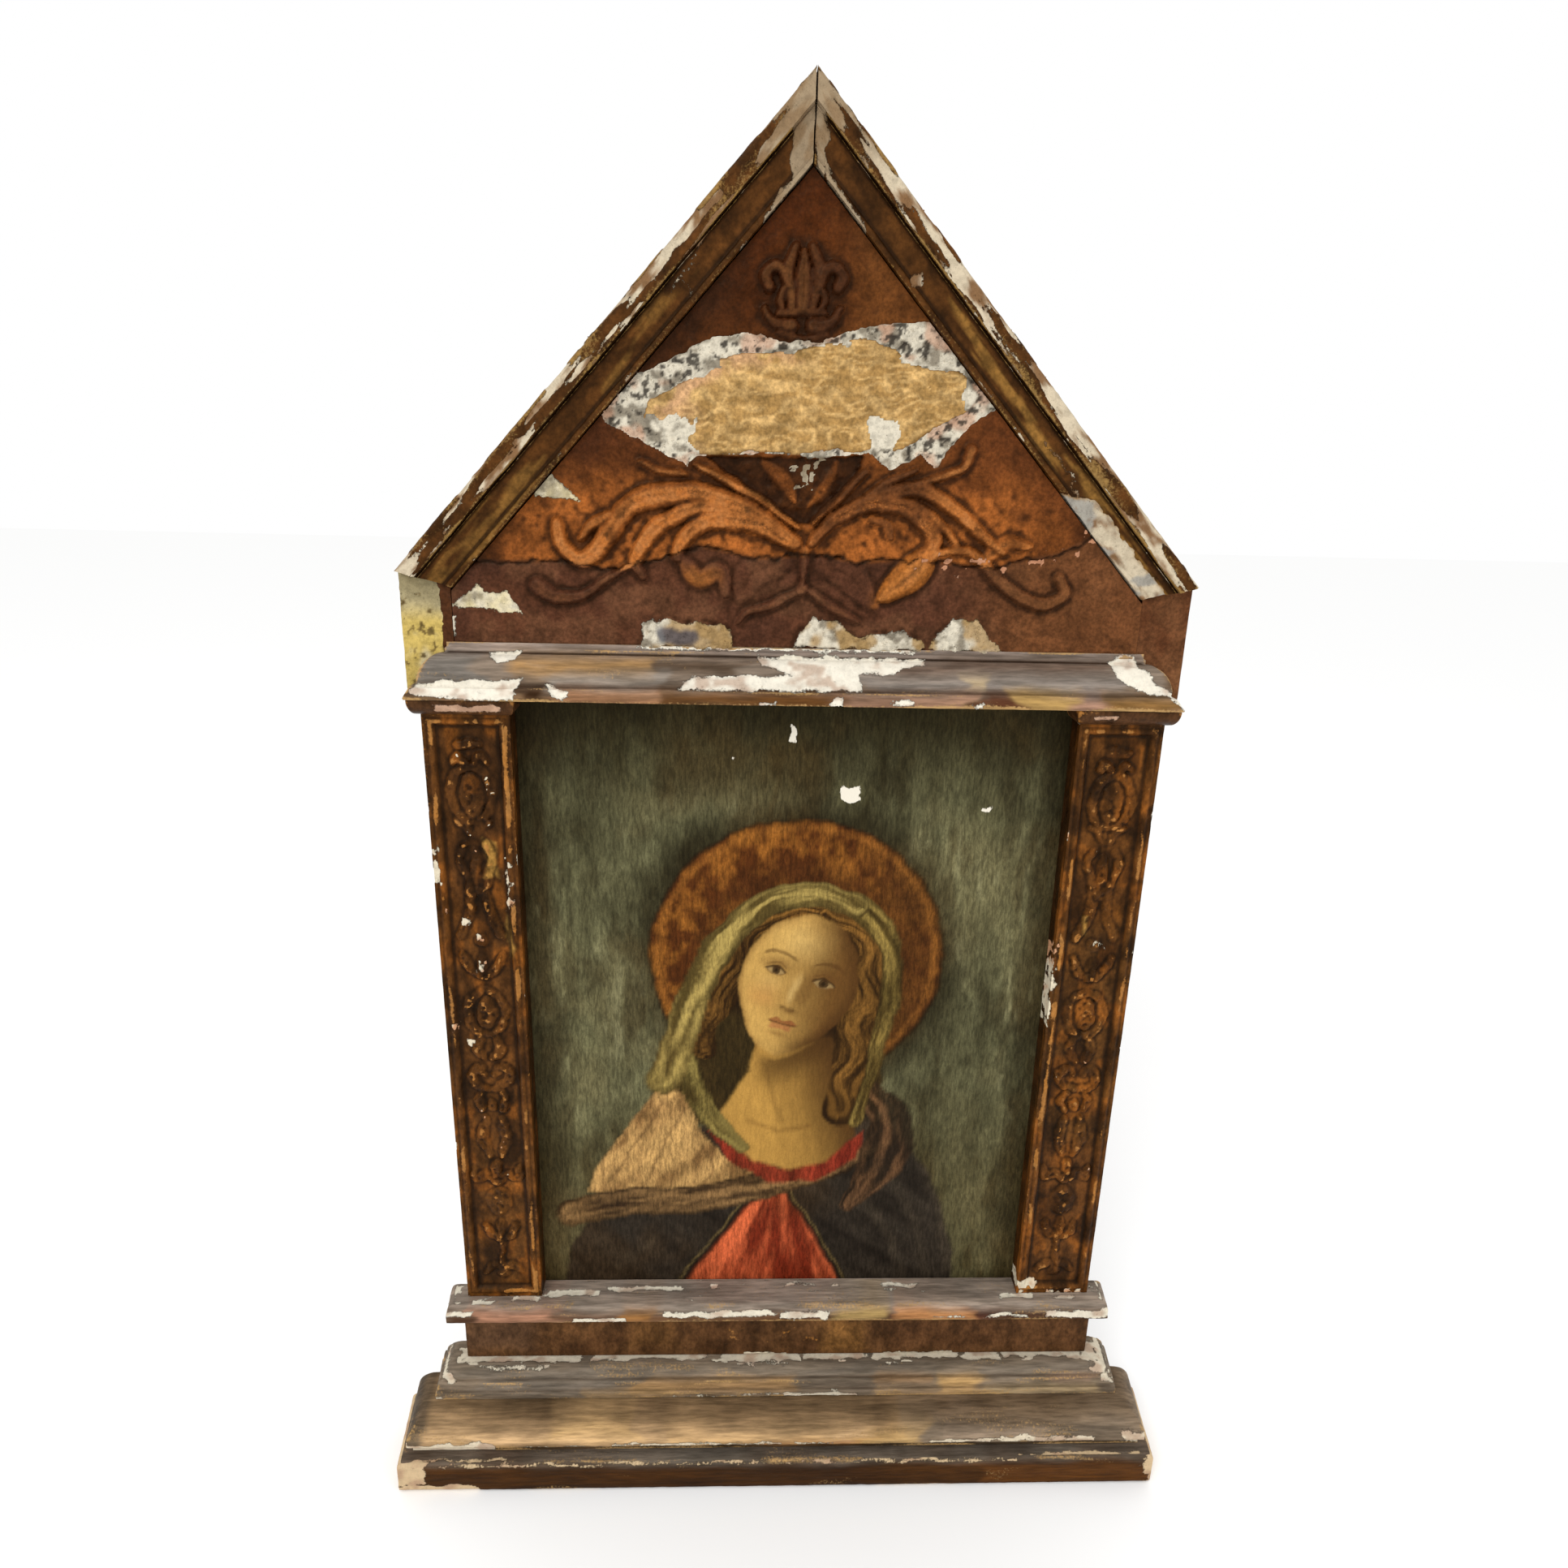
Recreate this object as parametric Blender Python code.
"""A house-shaped devotional icon: a painted panel in a carved and moulded wooden front."""
import math

import bmesh
import bpy
import numpy as np
from mathutils import Vector, geometry

# Clearance between neighbouring solids
GAP = 0.0003

# Overall front, measured across the outer sides of the two pilasters
FACADE_WIDTH = 0.350
PICTURE_SETBACK = 0.0123
BOARD_THICKNESS = 0.018
BOARD_INSET = 0.0025

# Base slab
SLAB_HEIGHT = 0.0191
SLAB_FRONT = 0.0441
SLAB_SIDE = 0.0325
SLAB_EDGE_ROUND = 0.0018

# The returns of the base and the sill stop short of the back board and spread a little backwards
BASE_RETURN = 0.0025
STEP_RETURN = 0.0080
SILL_RETURN = 0.0094
RETURN_SPLAY = 0.10

# Lower base moulding, a wide quarter round with a nose above a quirk
MOULDING_HEIGHT = 0.0148
MOULDING_MARGIN = 0.0028
NOSE_UNDERCUT = 0.0042
NOSE_BOTTOM = 0.0030
NOSE_HEIGHT = 0.0014

# Upper base moulding
STEP_HEIGHT = 0.0166
STEP_FRONT = 0.0165
STEP_SIDE = 0.0177
STEP_LEDGE = 0.0018
STEP_FILLET = 0.0036
STEP_TOP_LEDGE = 0.0045

# Predella, the plain block under the sill
PREDELLA_HEIGHT = 0.0283
PREDELLA_FRONT = 0.0035
PREDELLA_SIDE = 0.0021

# Sill
SILL_HEIGHT = 0.0103
SILL_FRONT = 0.0091
SILL_SIDE = 0.0105
SILL_LIP = 0.0064
SILL_SLOPE = 0.0040

# Pilasters and the capitals over them
PILASTER_WIDTH = 0.0408
PILASTER_HEIGHT = 0.3347
PILASTER_BORDER = 0.0046
PILASTER_SINK = 0.0020
CAPITAL_HEIGHT = 0.0080
CAPITAL_FRONT = 0.0085
CAPITAL_SIDE = 0.0040

# Picture panel, let into the back board behind the pilasters
PANEL_THICKNESS = 0.0050
PANEL_REBATE = 0.0040

# Cornice
CORNICE_HEIGHT = 0.0249
CORNICE_FRONT = 0.0102
CORNICE_SIDE = 0.0047
CORNICE_LIP = 0.0058
CORNICE_RECESS = 0.0124
CORNICE_SIDE_RECESS = 0.0183

# Gable
FIELD_SETBACK = 0.0030
GABLE_OVERHANG = 0.0058
EAVES_RISE = 0.0568
GABLE_RISE = 0.1992
EAVES_BLOCK_WIDTH = 0.0230

# Raking mouldings of the gable
RAKE_WIDTH = 0.0225
RAKE_PROUD = 0.0085
RAKE_FILLET = 0.0085
RAKE_QUIRK = 0.0010
RAKE_INNER_EDGE = 0.0035
RAKE_END_SLOPE = 0.30
BREAK_LENGTH = 0.050
BREAK_DEPTH = 0.0012

# Carving
SCROLL_HEIGHT = 0.0034
CANDELABRUM_HEIGHT = 0.0019
LOSS_DEPTH = 0.0012
VEE_DEPTH = 0.0026
HUB_RISE = 0.0522

# Places that follow from the sizes above
HALF = FACADE_WIDTH / 2
DEPTH = SLAB_FRONT + PICTURE_SETBACK + BOARD_THICKNESS
FRONT_Y = SLAB_FRONT - DEPTH / 2
BOARD_Y = FRONT_Y + PICTURE_SETBACK
SEAT_Y = BOARD_Y - GAP
MOULDING_Z = SLAB_HEIGHT + GAP
STEP_Z = MOULDING_Z + MOULDING_HEIGHT + GAP
PREDELLA_Z = STEP_Z + STEP_HEIGHT + GAP
SILL_Z = PREDELLA_Z + PREDELLA_HEIGHT + GAP
PILASTER_Z = SILL_Z + SILL_HEIGHT + GAP
CAPITAL_Z = PILASTER_Z + PILASTER_HEIGHT + GAP
CORNICE_Z = CAPITAL_Z + CAPITAL_HEIGHT + GAP
FIELD_Y = FRONT_Y + FIELD_SETBACK
GABLE_HALF = HALF + GABLE_OVERHANG
TIP_Z = CORNICE_Z + EAVES_RISE
APEX_Z = TIP_Z + GABLE_RISE
SLOPE = GABLE_RISE / GABLE_HALF
SLOPE_COS = 1 / math.hypot(1, SLOPE)
FIELD_HALF = GABLE_HALF - EAVES_BLOCK_WIDTH

# The carving is drawn for a field of this half width and a pilaster of this size, in millimetres
DRAWN_FIELD_HALF = 157.8
DRAWN_PILASTER = (40.8, 336.7)


def material(name, color, roughness):
    """One finish: a Principled shader with the part's colour."""
    finish = bpy.data.materials.new(name)
    finish.use_nodes = True
    shader = finish.node_tree.nodes["Principled BSDF"]
    shader.inputs["Base Color"].default_value = (*color, 1.0)
    shader.inputs["Roughness"].default_value = roughness
    shader.inputs["Metallic"].default_value = 0.0
    finish.diffuse_color = (*color, 1.0)
    return finish


def add_object(name, bm, color, roughness=0.6):
    """Close a bmesh into a named object with its own material."""
    bmesh.ops.recalc_face_normals(bm, faces=bm.faces)
    mesh = bpy.data.meshes.new(name)
    bm.to_mesh(mesh)
    bm.free()
    piece = bpy.data.objects.new(name, mesh)
    bpy.context.collection.objects.link(piece)
    mesh.materials.append(material(name + "_finish", color, roughness))
    return piece


def prism(outline, y_front, y_back):
    """An upright outline of (x, z) points, drawn out from y_front to y_back."""
    bm = bmesh.new()
    front = [bm.verts.new((x, y_front, z)) for x, z in outline]
    back = [bm.verts.new((x, y_back, z)) for x, z in outline]
    bm.faces.new(front)
    bm.faces.new(back)
    count = len(outline)
    for i in range(count):
        j = (i + 1) % count
        bm.faces.new((front[i], front[j], back[j], back[i]))
    return bm


def box(x_range, y_range, z_range):
    """A plain block between two corners."""
    left, right = x_range
    bottom, top = z_range
    return prism([(left, bottom), (right, bottom), (right, top), (left, top)], *y_range)


def mitred_moulding(sections, left, right, y_wall, y_back, return_depth=None):
    """A moulding along a front and its two returns.

    Each section is (front, side, z): how far it stands out from the wall plane and from the
    left and right ends at that height. Returns with a depth of their own stop there, and only
    the core between the ends runs on to the back.
    """
    bm = bmesh.new()
    rings = []
    for front, side, z in sections:
        near = [(left - side, y_wall - front), (right + side, y_wall - front)]
        if return_depth is None:
            corners = [(left - side, y_back)] + near + [(right + side, y_back)]
        else:
            y_end = y_wall + return_depth
            reach = side + RETURN_SPLAY * (front + return_depth)
            corners = [(left, y_back), (left, y_end), (left - reach, y_end)] + near
            corners += [(right + reach, y_end), (right, y_end), (right, y_back)]
        rings.append([bm.verts.new((x, y, z)) for x, y in corners])
    for lower, upper in zip(rings, rings[1:]):
        count = len(lower)
        for i in range(count):
            j = (i + 1) % count
            bm.faces.new((lower[i], lower[j], upper[j], upper[i]))
    bm.faces.new(rings[0])
    bm.faces.new(rings[-1])
    return bm


def quarter_round(steps):
    """A convex quarter: (run, rise) from the nose, both growing from 0 to 1."""
    angles = [math.pi / 2 * i / steps for i in range(steps + 1)]
    return [(1 - math.cos(a), math.sin(a)) for a in angles]


def blend_sections(outer, inner, curve):
    """Sections along a curve of (run, rise) from an outer section to an inner one."""
    sections = []
    for run, rise in curve:
        front = outer[0] + (inner[0] - outer[0]) * run
        side = outer[1] + (inner[1] - outer[1]) * run
        sections.append((front, side, outer[2] + (inner[2] - outer[2]) * rise))
    return sections


# Base

def make_base_slab():
    levels = [(SLAB_FRONT, SLAB_SIDE, 0), (SLAB_FRONT, SLAB_SIDE, SLAB_HEIGHT)]
    bm = mitred_moulding(levels, -HALF, HALF, FRONT_Y, SEAT_Y, BASE_RETURN)
    slab = add_object("base_slab", bm, (0.12, 0.06, 0.03))
    bevel = slab.modifiers.new("worn_edges", "BEVEL")
    bevel.width = min(SLAB_EDGE_ROUND, SLAB_HEIGHT / 4)
    bevel.segments = 2


def make_base_moulding():
    nose_front = SLAB_FRONT - MOULDING_MARGIN
    nose_side = SLAB_SIDE - MOULDING_MARGIN
    top_z = MOULDING_Z + MOULDING_HEIGHT
    nose_z = MOULDING_Z + NOSE_BOTTOM
    sections = [
        (nose_front - NOSE_UNDERCUT, nose_side - NOSE_UNDERCUT, MOULDING_Z),
        (nose_front - NOSE_UNDERCUT, nose_side - NOSE_UNDERCUT, nose_z - NOSE_HEIGHT / 2),
        (nose_front, nose_side, nose_z),
    ]
    nose = (nose_front, nose_side, nose_z + NOSE_HEIGHT)
    top = (STEP_FRONT + STEP_LEDGE, STEP_SIDE + STEP_LEDGE, top_z)
    sections += blend_sections(nose, top, quarter_round(7))
    bm = mitred_moulding(sections, -HALF, HALF, FRONT_Y, SEAT_Y, BASE_RETURN)
    add_object("base_moulding", bm, (0.20, 0.12, 0.06))


def make_base_step():
    top_z = STEP_Z + STEP_HEIGHT
    top = (PREDELLA_FRONT + STEP_TOP_LEDGE, PREDELLA_SIDE + STEP_TOP_LEDGE, top_z)
    sections = [
        (STEP_FRONT, STEP_SIDE, STEP_Z),
        (STEP_FRONT, STEP_SIDE, STEP_Z + STEP_FILLET),
    ]
    shoulder = (STEP_FRONT - STEP_LEDGE / 2, STEP_SIDE - STEP_LEDGE / 2, STEP_Z + STEP_FILLET * 1.1)
    sections += blend_sections(shoulder, top, quarter_round(5))
    bm = mitred_moulding(sections, -HALF, HALF, FRONT_Y, SEAT_Y, STEP_RETURN)
    add_object("base_step", bm, (0.17, 0.11, 0.07))


def make_predella():
    bottom = (PREDELLA_FRONT, PREDELLA_SIDE, PREDELLA_Z)
    top = (PREDELLA_FRONT, PREDELLA_SIDE, PREDELLA_Z + PREDELLA_HEIGHT)
    bm = mitred_moulding([bottom, top], -HALF, HALF, FRONT_Y, SEAT_Y)
    add_object("predella", bm, (0.13, 0.06, 0.03))


def make_sill():
    top_z = SILL_Z + SILL_HEIGHT
    lip_z = SILL_Z + SILL_LIP
    edge = 0.1 * SILL_LIP
    sections = [
        (SILL_FRONT - edge, SILL_SIDE - edge, SILL_Z),
        (SILL_FRONT, SILL_SIDE, SILL_Z + edge),
        (SILL_FRONT, SILL_SIDE, lip_z),
    ]
    lip = (SILL_FRONT - edge, SILL_SIDE - edge, lip_z + edge)
    top = (SILL_FRONT - SILL_SLOPE, SILL_SIDE - SILL_SLOPE, top_z)
    sections += blend_sections(lip, top, quarter_round(3))
    bm = mitred_moulding(sections, -HALF, HALF, FRONT_Y, SEAT_Y, SILL_RETURN)
    add_object("sill", bm, (0.25, 0.20, 0.16))


# Carving: a relief is the highest of many strokes over a flat ground

def smooth_path(points, spacing):
    """Points along a Catmull-Rom curve through the given ones, about one spacing apart."""
    p = np.array(points, float)
    padded = np.vstack([2 * p[0] - p[1], p, 2 * p[-1] - p[-2]])
    path = [p[0]]
    for i in range(len(p) - 1):
        a, b, c, d = padded[i:i + 4]
        steps = max(1, round(np.linalg.norm(c - b) / spacing))
        for t in np.arange(1, steps + 1) / steps:
            path.append(0.5 * (2 * b + (c - a) * t + (2 * a - 5 * b + 4 * c - d) * t ** 2
                               + (3 * b - a - 3 * c + d) * t ** 3))
    return np.array(path)


class Stroke:
    """A carved ridge along a path, with a half width that runs from start over middle to end."""

    def __init__(self, points, widths, height, spacing):
        self.path = smooth_path(points, spacing)
        steps = np.linalg.norm(np.diff(self.path, axis=0), axis=1)
        self.along = np.concatenate([[0], np.cumsum(steps)]) / steps.sum()
        start, middle, end = widths
        t = self.along
        self.half = start * (1 - t) ** 2 + 2 * (2 * middle - (start + end) / 2) * t * (1 - t) + end * t ** 2
        self.height = height

    def heights(self, points):
        """Height of the stroke at each point, 0 outside it and its full height on the path."""
        best = np.zeros(len(points))
        for a, b, wa, wb in zip(self.path, self.path[1:], self.half, self.half[1:]):
            ab = b - a
            t = np.clip((points - a) @ ab / max(ab @ ab, 1e-12), 0, 1)
            distance = np.linalg.norm(points - a - t[:, None] * ab, axis=1)
            half = wa + (wb - wa) * t
            rounded = np.sqrt(np.clip(1 - (distance / half) ** 2, 0, 1))
            best = np.maximum(best, self.height * rounded)
        return best

    def mesh_points(self, least):
        """Both feet and both shoulders of the ridge, so that the mesh edges follow the carving."""
        tangent = np.gradient(self.path, axis=0)
        tangent /= np.linalg.norm(tangent, axis=1)[:, None]
        normal = np.stack([-tangent[:, 1], tangent[:, 0]], axis=1)
        foot = np.maximum(self.half, least) * 1.05
        ends = np.array([self.path[0] - tangent[0] * foot[0], self.path[-1] + tangent[-1] * foot[-1]])
        rows = [ends]
        for reach in (-foot, foot, -0.62 * self.half, 0.62 * self.half):
            rows.append(self.path + normal * reach[:, None])
        return np.vstack(rows)


def mirrored(strokes_of_side):
    """A stroke on both sides of the middle line."""
    return [[(side * x, z) for x, z in strokes_of_side] for side in (-1, 1)]


def inside(outline, points, margin=0.0):
    """Which points lie in a closed outline, at least a margin from its edges."""
    ring = np.array(outline)
    result = np.zeros(len(points), bool)
    nearest = np.full(len(points), np.inf)
    for a, b in zip(ring, np.roll(ring, -1, axis=0)):
        spans = (a[1] > points[:, 1]) != (b[1] > points[:, 1])
        rise = b[1] - a[1] if b[1] != a[1] else 1e-12
        crossing = a[0] + (points[:, 1] - a[1]) * (b[0] - a[0]) / rise
        result ^= spans & (points[:, 0] < crossing)
        ab = b - a
        t = np.clip((points - a) @ ab / (ab @ ab), 0, 1)
        nearest = np.minimum(nearest, np.linalg.norm(points - a - t[:, None] * ab, axis=1))
    return result & (nearest >= margin)


def spread(candidates, least, kept):
    """Add each point to those kept only if it is the least distance from all of them."""
    for point in candidates:
        if not kept or np.min(np.linalg.norm(np.array(kept) - point, axis=1)) >= least:
            kept.append(point)
    return kept


def subdivide(outline, spacing):
    """The outline with extra points on its long sides."""
    ring = []
    for a, b in zip(outline, outline[1:] + outline[:1]):
        count = max(1, round(math.dist(a, b) / spacing))
        for i in range(count):
            ring.append((a[0] + (b[0] - a[0]) * i / count, a[1] + (b[1] - a[1]) * i / count))
    return ring


def relief_panel(outline, strokes, creases, surface, y_back, grid, edge_spacing, least, level=()):
    """A closed panel whose front follows surface(points), flat at the back.

    The creases are closed rings of points that stay as sharp lines of the front, as far as they
    lie inside the outline. The level points hold a line of the ground that the carving doesn't
    reach.
    """
    ring = subdivide(outline, edge_spacing)
    corners = np.array(outline)
    low, high = corners.min(axis=0), corners.max(axis=0)
    xs = np.arange(low[0] + grid / 2, high[0], grid)
    zs = np.arange(low[1] + grid / 2, high[1], grid)
    ground = np.array([(x, z) for z in zs for x in xs])
    carved = [stroke.mesh_points(least) for stroke in strokes]
    ridges = np.vstack([stroke.path for stroke in strokes])
    candidates = np.vstack([ridges] + [np.reshape(level, (-1, 2))] + carved)
    candidates = candidates[inside(outline, candidates, least)]
    kept = [np.array(p) for p in ring]
    edges = [(i, (i + 1) % len(ring)) for i in range(len(ring))]
    for crease in creases:
        first = len(kept)
        held = inside(outline, np.array(crease), least)
        order = np.cumsum(held) - 1
        kept += [np.array(p) for p, keep in zip(crease, held) if keep]
        for i in range(len(crease)):
            j = (i + 1) % len(crease)
            if held[i] and held[j]:
                edges.append((first + int(order[i]), first + int(order[j])))
    spread(candidates, least, kept)
    near_carving = np.array(kept)
    for point in ground[inside(outline, ground, least)]:
        if np.min(np.linalg.norm(near_carving - point, axis=1)) > grid * 0.5:
            kept.append(point)
    flat = [Vector(p) for p in kept]
    out = geometry.delaunay_2d_cdt(flat, edges, [], 1, 1e-7)
    points, faces, sources = out[0], out[2], out[3]
    place = {source: i for i, group in enumerate(sources) for source in group}
    flat_points = np.array([tuple(p) for p in points])
    depth = surface(flat_points)
    bm = bmesh.new()
    front = [bm.verts.new((p[0], y, p[1])) for p, y in zip(flat_points, depth)]
    for face in faces:
        bm.faces.new([front[i] for i in face])
    rim = [place[i] for i in range(len(ring))]
    back = [bm.verts.new((flat_points[i][0], y_back, flat_points[i][1])) for i in rim]
    count = len(rim)
    for i in range(count):
        j = (i + 1) % count
        bm.faces.new((front[rim[i]], front[rim[j]], back[j], back[i]))
    bm.faces.new(back)
    return bm


# Pilasters

def candelabrum():
    """The upright ornament of a pilaster: (points, widths, height), in millimetres.

    The middle line is x = 0, and the height is taken from the foot of the pilaster.
    """
    marks = []

    def pair(points, widths, height=1.0):
        marks.extend((side, widths, height) for side in mirrored(points))

    def middle(points, widths, height=1.0):
        marks.append((points, widths, height))

    def ring(z, half_width, half_height, width):
        turn = [math.radians(a) for a in range(-80, 81, 40)]
        arc = [(half_width * math.cos(a), z + half_height * math.sin(a)) for a in turn]
        pair(arc, (width, width, width), 0.8)

    # Foot and stem
    pair([(1, 20), (6, 19), (10, 15)], (1.4, 1.8, 1.0), 0.8)
    middle([(0, 15), (0, 26), (0, 36)], (2.4, 1.0, 1.4), 0.9)
    # Cup with a three-lobed flower
    pair([(1, 38), (6, 41), (8, 47)], (1.3, 1.6, 1.2))
    middle([(0, 40), (0, 49)], (1.2, 1.6, 1.2), 0.9)
    # Drop and bow
    middle([(0, 55), (0, 63), (0, 71)], (1.0, 4.2, 1.0), 0.8)
    pair([(1, 76), (6, 80), (11, 78), (12, 84)], (1.4, 1.8, 1.2))
    middle([(0, 80), (0, 88)], (1.8, 1.8, 1.6))
    # Upright leaves
    pair([(3, 92), (6, 103), (4, 116)], (1.0, 2.0, 1.0), 0.8)
    middle([(0, 123), (0, 124.5)], (1.8, 1.8, 1.8))
    pair([(5, 121), (7, 127), (5, 132)], (1.1, 1.5, 1.1))
    # Scroll pair
    pair([(1, 134), (7, 136), (10, 142), (6, 147), (3, 143)], (1.2, 1.8, 1.3))
    pair([(2, 152), (6, 158), (4, 165)], (1.1, 1.7, 1.1), 0.9)
    # Lower medallion
    ring(179, 9.5, 12.5, 1.5)
    middle([(0, 173), (0, 185)], (2.4, 3.4, 2.4), 0.9)
    # Fan of petals and a bead
    middle([(0, 200), (0, 210)], (1.0, 1.8, 1.2))
    pair([(2, 200), (7, 205), (10, 212)], (1.0, 1.7, 1.1))
    middle([(0, 219), (0, 220.5)], (1.9, 1.9, 1.9))
    # Bell flower
    pair([(10, 223), (6, 231), (3.6, 242), (4.5, 254), (8, 264), (5, 271)], (1.6, 1.5, 1.2), 0.9)
    middle([(0, 246), (0, 256), (0, 268)], (1.0, 1.8, 1.2), 0.7)
    pair([(1, 276), (4, 281), (8, 283)], (1.2, 1.5, 1.0), 0.8)
    # Upper medallion with its two petals
    ring(297, 9.5, 13.5, 1.5)
    middle([(0, 289), (0, 304)], (2.6, 3.6, 2.2), 0.9)
    pair([(2, 312), (5, 316), (8, 313)], (1.1, 1.6, 1.1))
    middle([(-5, 322), (5, 322)], (1.5, 1.8, 1.5), 0.8)
    return marks


def make_pilaster(name, side):
    outer = side * HALF
    inner = side * (HALF - PILASTER_WIDTH)
    left, right = min(outer, inner), max(outer, inner)
    center = (left + right) / 2
    wide = PILASTER_WIDTH / DRAWN_PILASTER[0]
    tall = PILASTER_HEIGHT / DRAWN_PILASTER[1]
    top = PILASTER_Z + PILASTER_HEIGHT
    outline = [(left, PILASTER_Z), (right, PILASTER_Z), (right, top), (left, top)]
    sunk_half = PILASTER_WIDTH / 2 - PILASTER_BORDER
    lift = CANDELABRUM_HEIGHT
    strokes = []
    for points, widths, height in candelabrum():
        placed = np.array([(center + x * wide, PILASTER_Z + z * tall) for x, z in points])
        strokes.append(Stroke(placed, np.array(widths) * min(wide, tall), height * lift, 0.0044))

    def surface(points):
        across = np.abs(points[:, 0] - center)
        along = np.minimum(points[:, 1] - PILASTER_Z, top - points[:, 1])
        from_border = np.minimum(sunk_half - across, along - PILASTER_BORDER)
        sunk = PILASTER_SINK * np.clip(from_border / PILASTER_SINK, 0, 1)
        raised = np.max([stroke.heights(points) for stroke in strokes], axis=0)
        return FRONT_Y + sunk - np.where(from_border > 0, raised, 0)

    borders = []
    for inset in (PILASTER_BORDER, PILASTER_BORDER + PILASTER_SINK):
        ring = [(left + inset, PILASTER_Z + inset), (right - inset, PILASTER_Z + inset),
                (right - inset, top - inset), (left + inset, top - inset)]
        borders.append(subdivide(ring, 0.012))
    bm = relief_panel(outline, strokes, borders, surface, SEAT_Y, 0.014, 0.012, 0.0008)
    add_object(name, bm, (0.16, 0.08, 0.035))


def make_capital(name, side):
    outer = side * HALF
    inner = side * (HALF - PILASTER_WIDTH)
    left, right = min(outer, inner), max(outer, inner)
    top_z = CAPITAL_Z + CAPITAL_HEIGHT
    foot = (CAPITAL_FRONT * 0.1, CAPITAL_SIDE * 0.1, CAPITAL_Z)
    crown = (CAPITAL_FRONT, CAPITAL_SIDE, top_z)
    hollow = [(rise, run) for run, rise in quarter_round(4)]
    sections = blend_sections(foot, crown, hollow)
    bm = mitred_moulding(sections, left, right, FRONT_Y, SEAT_Y)
    add_object(name, bm, (0.15, 0.07, 0.03))


# Back board and picture panel

def make_back_board():
    half = HALF - BOARD_INSET
    gable_half = GABLE_HALF - BOARD_INSET
    lift = BOARD_INSET / SLOPE_COS
    outline = [(-half, 0), (half, 0), (half, CORNICE_Z), (gable_half, CORNICE_Z),
               (gable_half, TIP_Z - lift + BOARD_INSET * SLOPE), (0, APEX_Z - lift),
               (-gable_half, TIP_Z - lift + BOARD_INSET * SLOPE),
               (-gable_half, CORNICE_Z), (-half, CORNICE_Z)]
    board = add_object("back_board", prism(outline, BOARD_Y, BOARD_Y + BOARD_THICKNESS), (0.30, 0.22, 0.15), 0.8)
    half_panel = HALF - PILASTER_WIDTH + PANEL_REBATE + GAP
    floor_z = PILASTER_Z - PANEL_REBATE - GAP
    top_z = CORNICE_Z + PANEL_REBATE + GAP
    bm = box((-half_panel, half_panel), (BOARD_Y - 0.01, BOARD_Y + PANEL_THICKNESS + GAP), (floor_z, top_z))
    cutter = add_object("picture_rebate", bm, (0.5, 0.5, 0.5))
    cutter.hide_render = True
    cutter.display_type = "WIRE"
    pocket = board.modifiers.new("rebate", "BOOLEAN")
    pocket.operation = "DIFFERENCE"
    pocket.solver = "EXACT"
    pocket.object = cutter


def make_picture_panel():
    half_panel = HALF - PILASTER_WIDTH + PANEL_REBATE
    bm = box((-half_panel, half_panel), (BOARD_Y, BOARD_Y + PANEL_THICKNESS),
             (PILASTER_Z - PANEL_REBATE, CORNICE_Z + PANEL_REBATE))
    add_object("picture_panel", bm, (0.14, 0.14, 0.09), 0.45)


# Cornice and gable

def make_cornice():
    lip_z = CORNICE_Z + CORNICE_LIP
    top_z = CORNICE_Z + CORNICE_HEIGHT
    fillet = 0.13 * CORNICE_HEIGHT
    lip_run = 0.3 * CORNICE_RECESS
    top_front = CORNICE_FRONT - CORNICE_RECESS
    top_side = CORNICE_SIDE - CORNICE_SIDE_RECESS
    sections = [
        (CORNICE_FRONT, CORNICE_SIDE, CORNICE_Z),
        (CORNICE_FRONT, CORNICE_SIDE, CORNICE_Z + 0.15 * CORNICE_LIP),
        (CORNICE_FRONT - 0.5 * lip_run, CORNICE_SIDE - 0.8 * lip_run, lip_z),
    ]
    crown = (CORNICE_FRONT - lip_run, CORNICE_SIDE - 1.5 * lip_run, lip_z + 0.1 * CORNICE_LIP)
    neck = (top_front + 0.1 * CORNICE_RECESS, top_side + 0.1 * CORNICE_RECESS, top_z - fillet)
    sections += blend_sections(crown, neck, quarter_round(6))
    sections += [(top_front, top_side, top_z - 0.8 * fillet), (top_front, top_side, top_z)]
    bm = mitred_moulding(sections, -HALF, HALF, FRONT_Y, FIELD_Y - GAP)
    add_object("cornice", bm, (0.16, 0.11, 0.08))


def rake_line(inset, x):
    """Height of the gable slope at x, moved in by an inset square to it."""
    return APEX_Z - inset / SLOPE_COS - abs(x) * SLOPE


def rake_end(x):
    """Height of the sloping cut across the lower end of a raking moulding."""
    return TIP_Z - (GABLE_HALF - abs(x)) * RAKE_END_SLOPE


def rake_foot_x(inset):
    """Where the slope moved in by an inset meets that cut."""
    return (APEX_Z - inset / SLOPE_COS - TIP_Z + GABLE_HALF * RAKE_END_SLOPE) / (SLOPE + RAKE_END_SLOPE)


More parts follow.
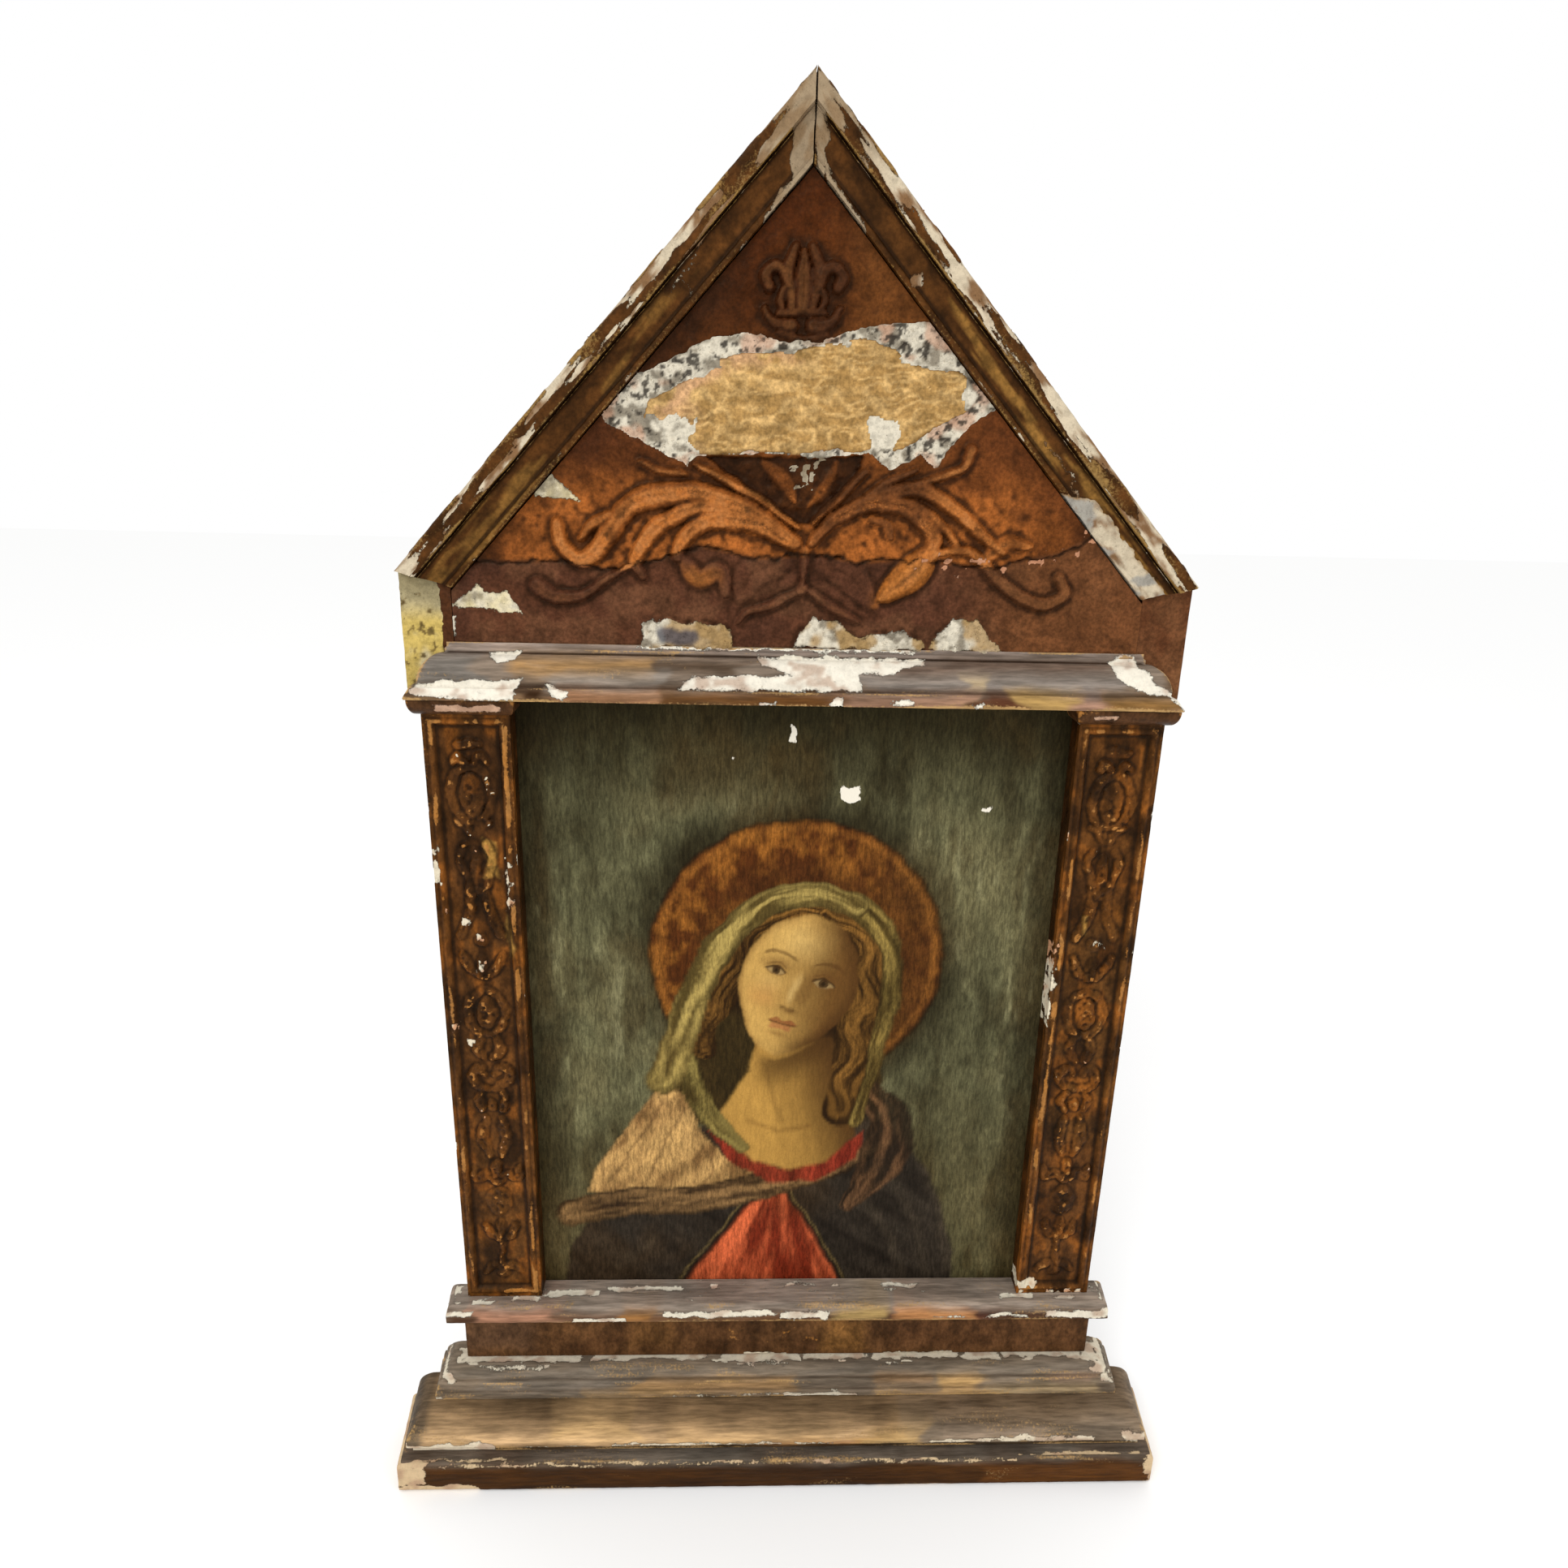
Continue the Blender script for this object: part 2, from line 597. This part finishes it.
def rake_profile():
    """Across the moulding: (inset from the outer edge, y)."""
    proud_y = FIELD_Y - RAKE_PROUD
    edge = 0.12 * RAKE_FILLET
    face_y = proud_y + 0.2 * RAKE_PROUD
    inner_y = FIELD_Y - RAKE_INNER_EDGE
    hollow_start = RAKE_FILLET + RAKE_QUIRK
    hollow_end = RAKE_WIDTH - 0.12 * RAKE_WIDTH
    points = [(0, SEAT_Y), (0, proud_y + edge), (edge, proud_y), (RAKE_FILLET, proud_y),
              (RAKE_FILLET + 0.3 * RAKE_QUIRK, face_y + RAKE_QUIRK), (hollow_start, face_y)]
    for run, rise in quarter_round(5)[1:]:
        points.append((hollow_start + (hollow_end - hollow_start) * run,
                       face_y + (inner_y + 0.4 * RAKE_INNER_EDGE - face_y) * rise))
    points += [(hollow_end + 0.02 * RAKE_WIDTH, inner_y), (RAKE_WIDTH, inner_y), (RAKE_WIDTH, SEAT_Y)]
    return points


def make_rake(name, side):
    bm = bmesh.new()
    head, foot = [], []
    for inset, y in rake_profile():
        top_x = GAP / 2
        foot_x = rake_foot_x(inset)
        head.append(bm.verts.new((side * top_x, y, rake_line(inset, top_x))))
        foot.append(bm.verts.new((side * foot_x, y, rake_end(foot_x))))
    count = len(head)
    for i in range(count):
        j = (i + 1) % count
        bm.faces.new((head[i], head[j], foot[j], foot[i]))
    bm.faces.new(head)
    bm.faces.new(foot)
    return add_object(name, bm, (0.35, 0.27, 0.18))


def break_away(rake, side):
    """The lower end of the inner moulding is lost, down to its ground."""
    kept = RAKE_FILLET + RAKE_QUIRK + 0.1 * RAKE_WIDTH
    beyond = RAKE_WIDTH * 1.1
    run = BREAK_LENGTH * SLOPE_COS
    foot = rake_foot_x(kept)
    corners = [(kept, foot - run), (beyond, foot - run - 0.5 * RAKE_WIDTH),
               (beyond, foot + RAKE_WIDTH), (kept, foot + RAKE_WIDTH)]
    outline = [(side * x, rake_line(inset, x)) for inset, x in corners]
    bm = prism(outline, FIELD_Y - 3 * RAKE_PROUD, FIELD_Y - BREAK_DEPTH)
    cutter = add_object("lost_moulding", bm, (0.5, 0.5, 0.5))
    cutter.hide_render = True
    cutter.display_type = "WIRE"
    cut = rake.modifiers.new("lost_moulding", "BOOLEAN")
    cut.operation = "DIFFERENCE"
    cut.solver = "EXACT"
    cut.object = cutter


def make_eaves_block(name, side):
    gap_cut = GAP / math.cos(math.atan(RAKE_END_SLOPE))
    outline = []
    for x in (FIELD_HALF + GAP, GABLE_HALF):
        outline.append((side * x, CORNICE_Z))
    for x in (GABLE_HALF, FIELD_HALF + GAP):
        outline.append((side * x, rake_end(x) - gap_cut))
    add_object(name, prism(outline, FIELD_Y, SEAT_Y), (0.35, 0.28, 0.14))


def scrolls():
    """The two acanthus scrolls about the hub: (points, widths, height), in millimetres."""
    return [
        # Left side: three fronds from the hub, a fine rib above and a tendril below
        ([(-3, -5), (-22, 8), (-50, 16), (-76, 10), (-88, -5), (-98, -14), (-107, -8), (-109, 1)],
         (2.5, 4.6, 2.4), 1.0),
        ([(-86, 6), (-94, 1), (-99, -5)], (1.6, 2.4, 1.2), 0.7),
        ([(-5, -3), (-25, 7), (-45, 10), (-64, 1), (-75, -13), (-72, -21)], (2.0, 3.8, 1.8), 0.85),
        ([(-4, -6), (-22, 3), (-42, 4), (-54, -5), (-56, -12)], (2.2, 4.2, 2.4), 0.95),
        ([(-53, -14), (-47, -22), (-37, -19), (-34, -29)], (3.0, 4.0, 1.4), 0.55),
        ([(-2, 2), (-16, 12), (-32, 20), (-48, 28)], (1.2, 1.8, 1.0), 0.8),
        ([(-72, 28), (-64, 25), (-52, 24)], (0.9, 1.4, 0.9), 0.5),
        ([(-72, -14), (-87, -22), (-100, -30), (-112, -31), (-119, -26)], (1.0, 2.0, 3.4), 0.75),
        # Right side: a round curl with its leaf, and fronds over it that end in a scroll
        ([(4, -5), (14, 6), (29, 13), (46, 11), (58, 0), (57, -10)], (1.8, 3.6, 3.0), 1.0),
        ([(57, -9), (50, -17), (43, -23), (36, -29)], (4.4, 6.4, 1.6), 0.9),
        ([(30, 6), (37, 4), (39, -2)], (1.4, 2.0, 1.6), 0.5),
        ([(4, 4), (14, 14), (27, 27)], (1.0, 1.6, 1.2), 0.8),
        ([(22, 11), (34, 21), (49, 28)], (0.9, 1.5, 1.0), 0.7),
        ([(47, 21), (61, 25), (70, 29), (73, 37)], (1.0, 1.6, 2.2), 0.7),
        ([(22, 9), (34, 17), (52, 19), (69, 10), (90, -7)], (1.4, 3.2, 1.6), 0.85),
        ([(40, 15), (53, 11), (66, 0), (72, -8)], (1.0, 1.8, 1.0), 0.6),
        ([(60, -8), (76, -7), (90, -20), (108, -30), (121, -26), (118, -18)], (1.6, 2.6, 2.0), 0.8),
        ([(82, -11), (92, -3), (103, -4)], (2.4, 3.6, 1.6), 0.5),
        # Pair of drooping leaves under the hub, and the bead where they meet
        ([(-1, -26), (-13, -33), (-24, -36), (-29, -41)], (1.2, 2.0, 1.0), 0.6),
        ([(4, -26), (14, -33), (27, -40)], (1.2, 2.0, 1.0), 0.6),
        ([(0, -26), (1, -24.5)], (2.2, 2.2, 2.2), 0.8),
        ([(1, -8), (1, -22)], (2.0, 1.4, 1.0), 0.6),
        ([(-8, -14), (-22, -18), (-28, -30)], (3.0, 6.0, 2.0), 0.35),
        ([(9, -14), (22, -19), (34, -32)], (3.0, 5.5, 2.0), 0.35),
    ]


def fleur():
    """The lily above the loss: (points, widths, height), in millimetres from the hub."""
    center, foot = -3, 81
    marks = [([(center, foot + 6), (center, foot + 20), (center, foot + 35)], (3.0, 5.6, 1.4), 0.8)]
    sides = [
        ([(3, 12), (7, 22), (13, 27), (18, 22), (16, 17)], (1.8, 2.6, 2.0), 0.9),
        ([(2, 4), (8, 8), (14, 4), (15, 0)], (1.8, 2.6, 1.6), 0.8),
        ([(12, 9), (17, 13)], (1.2, 1.8, 1.4), 0.7),
        ([(5, 34), (3.5, 30)], (1.0, 1.6, 1.0), 0.6),
    ]
    for points, widths, height in sides:
        for side in mirrored(points):
            marks.append(([(center + x, foot + z) for x, z in side], widths, height))
    return marks


LOSS_EDGE = [(-90, 51), (-68, 66), (-40, 80), (-10, 79), (22, 85), (58, 89), (77, 70), (84, 55),
             (62, 35), (50, 28), (28, 34), (-46, 32), (-55, 27), (-78, 40)]
VEE_EDGE = [(-44, 31), (26, 33), (24, 26), (4, 3), (-3, 3)]


def field_outline():
    """The carved field between the raking mouldings, the eaves blocks and the cornice."""
    slack = GAP / SLOPE_COS
    side_top = rake_end(FIELD_HALF) - GAP * 1.2
    corner_x = rake_foot_x(RAKE_WIDTH) - GAP
    corner_z = rake_end(corner_x) - GAP * 1.2
    inner_apex = rake_line(RAKE_WIDTH, 0) - slack
    blunt = GAP * 2
    right = [(FIELD_HALF, CORNICE_Z), (FIELD_HALF, side_top), (corner_x, corner_z),
             (corner_x, rake_line(RAKE_WIDTH, corner_x) - slack), (blunt, inner_apex - blunt * SLOPE)]
    return right + [(-x, z) for x, z in reversed(right)]


def make_tympanum():
    scale = FIELD_HALF / DRAWN_FIELD_HALF
    hub_z = CORNICE_Z + CORNICE_HEIGHT + HUB_RISE
    strokes = []
    for points, widths, height in scrolls() + fleur():
        placed = np.array([(x * scale, hub_z + z * scale) for x, z in points])
        strokes.append(Stroke(placed, np.array(widths) * scale, height * SCROLL_HEIGHT, 0.0042))
    loss = [(x * scale, hub_z + z * scale) for x, z in LOSS_EDGE]
    vee = [(x * scale, hub_z + z * scale) for x, z in VEE_EDGE]

    def surface(points):
        raised = np.max([stroke.heights(points) for stroke in strokes], axis=0)
        in_loss = inside(loss, points)
        in_vee = inside(vee, points) & ~in_loss
        y = FIELD_Y - np.where(in_loss, 0, raised)
        return y + np.where(in_loss, LOSS_DEPTH, 0) + np.where(in_vee, VEE_DEPTH, 0)

    cornice_top = CORNICE_Z + CORNICE_HEIGHT
    ground_line = [(x, cornice_top + GAP) for x in np.linspace(-0.95, 0.95, 18) * FIELD_HALF]
    rims = []
    for edge in (loss, vee):
        ring = np.array(subdivide(edge, 0.011))
        middle = ring.mean(axis=0)
        outward = (ring - middle) / np.linalg.norm(ring - middle, axis=1)[:, None]
        rims += [ring + outward * 0.0007, ring - outward * 0.0007]
    bm = relief_panel(field_outline(), strokes, rims, surface, SEAT_Y, 0.018, 0.018, 0.0010, ground_line)
    add_object("tympanum", bm, (0.22, 0.09, 0.03))


def main():
    for old in list(bpy.data.objects):
        bpy.data.objects.remove(old)
    make_base_slab()
    make_base_moulding()
    make_base_step()
    make_predella()
    make_sill()
    make_back_board()
    make_picture_panel()
    for name, side in (("left", -1), ("right", 1)):
        make_pilaster("pilaster_" + name, side)
        make_capital("capital_" + name, side)
        make_eaves_block("eaves_block_" + name, side)
    make_cornice()
    make_tympanum()
    make_rake("rake_left", -1)
    break_away(make_rake("rake_right", 1), 1)


main()
